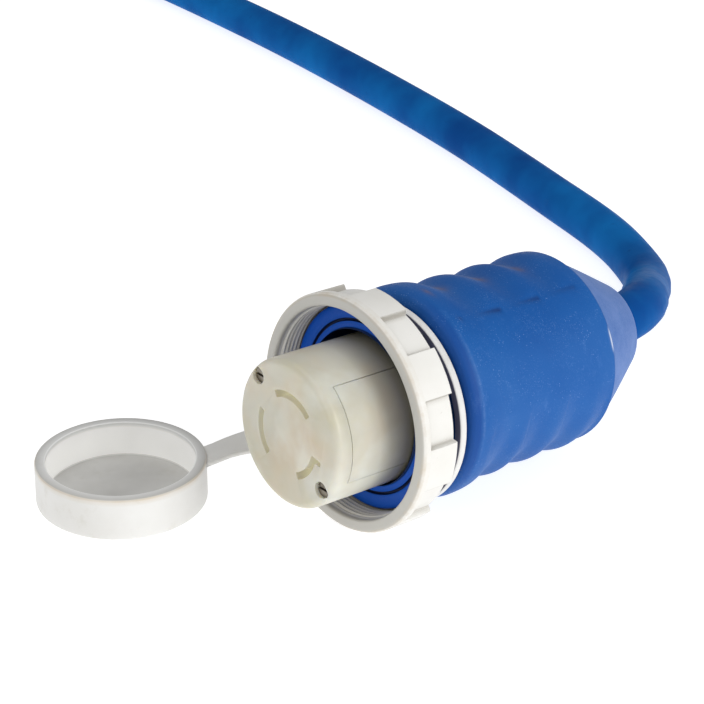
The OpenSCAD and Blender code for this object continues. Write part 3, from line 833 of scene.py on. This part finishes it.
R_INS = 26.0
face_prof = [(9.0, 0.02), (9.0, 25.98), (8.9, R_INS), (-10, R_INS), (-16.9, R_INS), (-20.9, R_INS)]
fil = [(-23.5 + 2.6 - 2.6 * math.sin(t), R_INS - 2.6 + 2.6 * math.cos(t)) for t in np.linspace(0, pi / 2, 9)[1:]]
ins_prof = [(9.0, 0.0), (9.0, 25.62), (20.0, 25.62), (20.0, 25.9), (19.9, R_INS), (9.0, R_INS), (-5, R_INS), (-20.9, R_INS)] + fil + [(-23.5, 12), (-23.5, 0.0)]
insert = turned("contact_housing_detail", ins_prof, 180, from_insert, closed=False)
SLOTS = [(12.9, 15.5, 45, 119, 0.9, None), (12.9, 15.5, 162, 228, 0.9, None), (12.9, 15.5, -66, -10, 0.7, (18.1, 6.5))]
cut = []
for i, (r0, r1, a0, a1, rc, leg) in enumerate(SLOTS):
    cut.append(prism(f"c{i}", slot_outline(r0, r1, a0, a1, rc, leg), -26, -16.2, from_insert))
    cut.append(prism(f"d{i}", slot_outline(11.0, 17.4, (a0 - 4 if i < 2 else -90), a1 + 4, 0.5), -17, 12, from_insert))
tongue = [(21.85, t) for t in np.linspace(-22.35, 56.35, 28)] + [(29, t) for t in np.linspace(56.35, -22.35, 28)]
cut.append(prism("tongue_notch", tongue, -17.15, 24, from_insert))
for i, a in enumerate((137, -35)):
    cut.append(prism(f"e{i}", circle_outline(22.4, a, 3.0), -26, -19.5, from_insert))
    cut.append(prism(f"f{i}", circle_outline(22.4, a, 2.0, 24), -20, 12, from_insert))
bool_cut(insert, cut)
bevel_edges(insert, 0.32, 35, 2)
iv = np.array([v.co for v in insert.data.vertices]) * 1000 - np.array([OX, OY, AXH])
ix = iv[:, 0] * CT - iv[:, 2] * ST
ir = np.hypot(iv[:, 1] + INS[0], iv[:, 0] * ST + iv[:, 2] * CT + INS[1])
# mask of the painted light on the slot walls
vgroup(insert, "slotwall_glow", (ix > -23.3) * (ix < -15.5) * (ir < 19))
set_mat(insert, MATS["insert_cream"])
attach(insert, "connector")
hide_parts("contact_housing")

# ---------------------------------------------------------------- strap loop, strap and cap
LD = (0.4, 2.1)


def from_loop(p):
    return from_axis(np.asarray(p, float) + np.array([0, LD[0], -LD[1]]))


loop_prof = rounded([(22.4, 32.8), (22.4, 36.0), (25.4, 36.0), (25.4, 32.8)], [0.5, 0.8, 0.8, 0.5], 4)
loop = turned("strap_loop_ring", loop_prof, 200, from_loop)
lv = np.array([v.co for v in loop.data.vertices]) * 1000 - np.array([OX, OY, AXH])
lx = lv[:, 0] * CT - lv[:, 2] * ST
lr = np.hypot(lv[:, 1] - LD[0], lv[:, 0] * ST + lv[:, 2] * CT + LD[1])
# mask of the painted shade in the gap behind the locking ring
vgroup(loop, "gap_shade", 0.95 * (lx < 22.75) * (lr < 35.75))

cap_prof = rounded([(0, 0), (0, 30.1), (15.9, 30.0), (15.9, 26.2), (2.6, 26.2), (2.6, 0)], [0, 1.6, 0.8, 0.5, 0.7, 0], 7)


def cap_place(p):
    # x of the outline is height, r is radius
    p = np.asarray(p, float)
    return from_floor(np.stack([CAP_X + p[..., 1], CAP_Y + p[..., 2], p[..., 0]], -1))


dense = []
for i in range(len(cap_prof) - 1):
    p, q = cap_prof[i], cap_prof[i + 1]
    k = max(1, int(np.linalg.norm(q - p) / 1.5))
    for j in range(k):
        dense.append(p + (q - p) * j / k)
dense.append(cap_prof[-1])
dense = np.array(dense)
capo = turned("weather_cap_detail", dense, 220, cap_place, closed=False)
h = np.array([v.co.z * 1000 for v in capo.data.vertices])
rr = np.array([math.hypot(v.co.x * 1000 - OX - CAP_X, v.co.y * 1000 - OY - CAP_Y) for v in capo.data.vertices])
vgroup(capo, "edge", np.exp(-((h - 15.45) / 0.45) ** 2) * (rr > 29.3))
# mask of the painted shade on the cup floor
vgroup(capo, "capfloor_shade", (h > 2) * (h < 3.0) * (rr < 26.0))
# mask of the painted light on the cup's inner wall
vgroup(capo, "capwall_painted_light", (h > 3.2) * (h < 15.2) * (rr < 26.4))
vgroup(capo, "lip", np.exp(-((rr - 26.45) / 0.3) ** 2) * (h > 15.3))
vgroup(capo, "rimgrey", 0.42 * (h > 15.3) * (rr < 29.6) * (rr > 26.0))
set_mat(capo, MATS["cap_white"])
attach(capo, "cap")
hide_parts("weather_cap")

# strap: a flat band with rounded edges swept along the CAD's route
TAB = 213
tn = np.array([CT, 0, -ST])


def axis_to_floor(p):
    return from_axis(p) * 1000 - np.array([OX, OY, 0])


tp = axis_to_floor(np.array([23.3, 0.4 - 43 * math.cos(math.radians(TAB)), -2.1 + 43 * math.sin(math.radians(TAB))]))
tb = axis_to_floor(np.array([23.3, 0.4 - 33.5 * math.cos(math.radians(TAB)), -2.1 + 33.5 * math.sin(math.radians(TAB))]))
to = (tp - tb) / np.linalg.norm(tp - tb)
strap_pts = [tb, (tb + tp) / 2, tp, tp + 3 * to, np.array([21, 40.8, 13.2]), np.array([17.5, 43.4, 11.7]), np.array([12, 45.3, 11.2]), np.array([5, 46.6, 11.8]),
             np.array([-2, 47.3, 12.8]), np.array([-9, 47.5, 13.5]), np.array([-15, 47.4, 13.8]), np.array([-20.5, 47.2, 13.9])]
strap_w = [None, None, None, None, 55, 50, 42, 30, 16, 6, 0, 0]
line2 = catmull(strap_pts, 1.6)
side = np.cross(tn, to)
ws = []
for i, a in enumerate(strap_w):
    ws.append(side if a is None else np.array([0, math.cos(math.radians(a)), math.sin(math.radians(a))]))
ws = [w if np.dot(w, np.array([0, 1, 0.3])) > 0 else -w for w in ws]
# carry the width direction along the smooth line
kidx = [int(np.argmin(np.linalg.norm(line2 - p, axis=1))) for p in strap_pts]
wl = np.array([[np.interp(i, kidx, [w[c] for w in ws]) for c in range(3)] for i in range(len(line2))])
rings = []
END_W = np.array([0.62, 1.0, 0.0])
for i, c in enumerate(line2):
    t = line2[min(i + 1, len(line2) - 1)] - line2[max(i - 1, 0)]
    t = t / np.linalg.norm(t)
    w = wl[i] - np.dot(wl[i], t) * t
    w /= np.linalg.norm(w)
    nrm = np.cross(t, w)
    hw, ht = 5.5, 0.9
    sec = rounded([(-hw, -ht), (hw, -ht), (hw, ht), (-hw, ht)], [0.55] * 4, 3)
    rings.append([c + s[0] * w + s[1] * nrm for s in sec])
for k, (dx, f) in enumerate(((-1.0, 0.45), (-2.2, 1.0))):
    c = np.array([-20.5 + dx, 47.2, 13.9])
    w = np.array([END_W[0] * f, 1.0, 0.0])
    sec = rounded([(-5.5, -0.9), (5.5, -0.9), (5.5, 0.9), (-5.5, 0.9)], [0.55] * 4, 3)
    sign = 1 if np.dot(wl[-1], w) > 0 else -1
    t = line2[-1] - line2[-3]
    up_v = np.cross(t / np.linalg.norm(t), sign * np.array([0, 1.0, 0]))
    rings.append([c + q[0] * sign * w + q[1] * up_v for q in sec])
strap = grid("cap_strap_detail", from_floor(np.array(rings)), close_v=True, cap=True)
set_mat(strap, MATS["cap_white"])
bandcount = int(0.28 * len(rings))
set_mat(loop, MATS["cap_white"])
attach(loop, "strap")
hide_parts("strap_loop")
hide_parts("cap_strap")
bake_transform(strap)

# ---------------------------------------------------------------- stage and light
fl = bpy.data.meshes.new("floor")
fl.from_pydata([(-6, -6, 0), (6, -6, 0), (6, 6, 0), (-6, 6, 0)], [], [(0, 1, 2, 3)])
floor = bpy.data.objects.new("floor", fl)
bpy.context.scene.collection.objects.link(floor)
floor.location.z = -0.0002
mf = Mat("floor", rough=0.9, spec=0.1)
mf.color(mf.ramp(mf.noise(2, 2, 0.5), [(0.0, (0.5, 0.5, 0.5)), (1.0, (0.52, 0.52, 0.52))]))
mf.bs.inputs["Emission Color"].default_value = (1, 1, 1, 1)
mf.bs.inputs["Emission Strength"].default_value = 0.8
floor.data.materials.append(mf.m)

world = bpy.data.worlds.new("world")
bpy.context.scene.world = world
world.use_nodes = True
wn = world.node_tree
bg = wn.nodes["Background"]
bg.inputs["Color"].default_value = (1, 1, 1, 1)
bg.inputs["Strength"].default_value = 0.4
bpy.context.scene.view_settings.view_transform = "Standard"


def area(name, loc, target, size, power, color=(1, 1, 1), size_y=None):
    ld = bpy.data.lights.new(name, "AREA")
    ld.energy = power
    ld.size = size
    ld.color = color
    if size_y:
        ld.shape = "RECTANGLE"
        ld.size_y = size_y
    ob = bpy.data.objects.new(name, ld)
    bpy.context.scene.collection.objects.link(ob)
    ob.location = loc
    ob.rotation_mode = "QUATERNION"
    ob.rotation_quaternion = (Vector(target) - Vector(loc)).to_track_quat("-Z", "Y")
    return ob


area("key", (0.3, -0.95, 0.5), (0.02, 0, 0.03), 0.6, 5.7)
area("fill", (-0.95, -0.35, 0.55), (-0.03, 0, 0.02), 0.5, 1.7)
area("top", (-0.3, 0.2, 0.9), (-0.04, 0, 0.02), 0.55, 1.5)
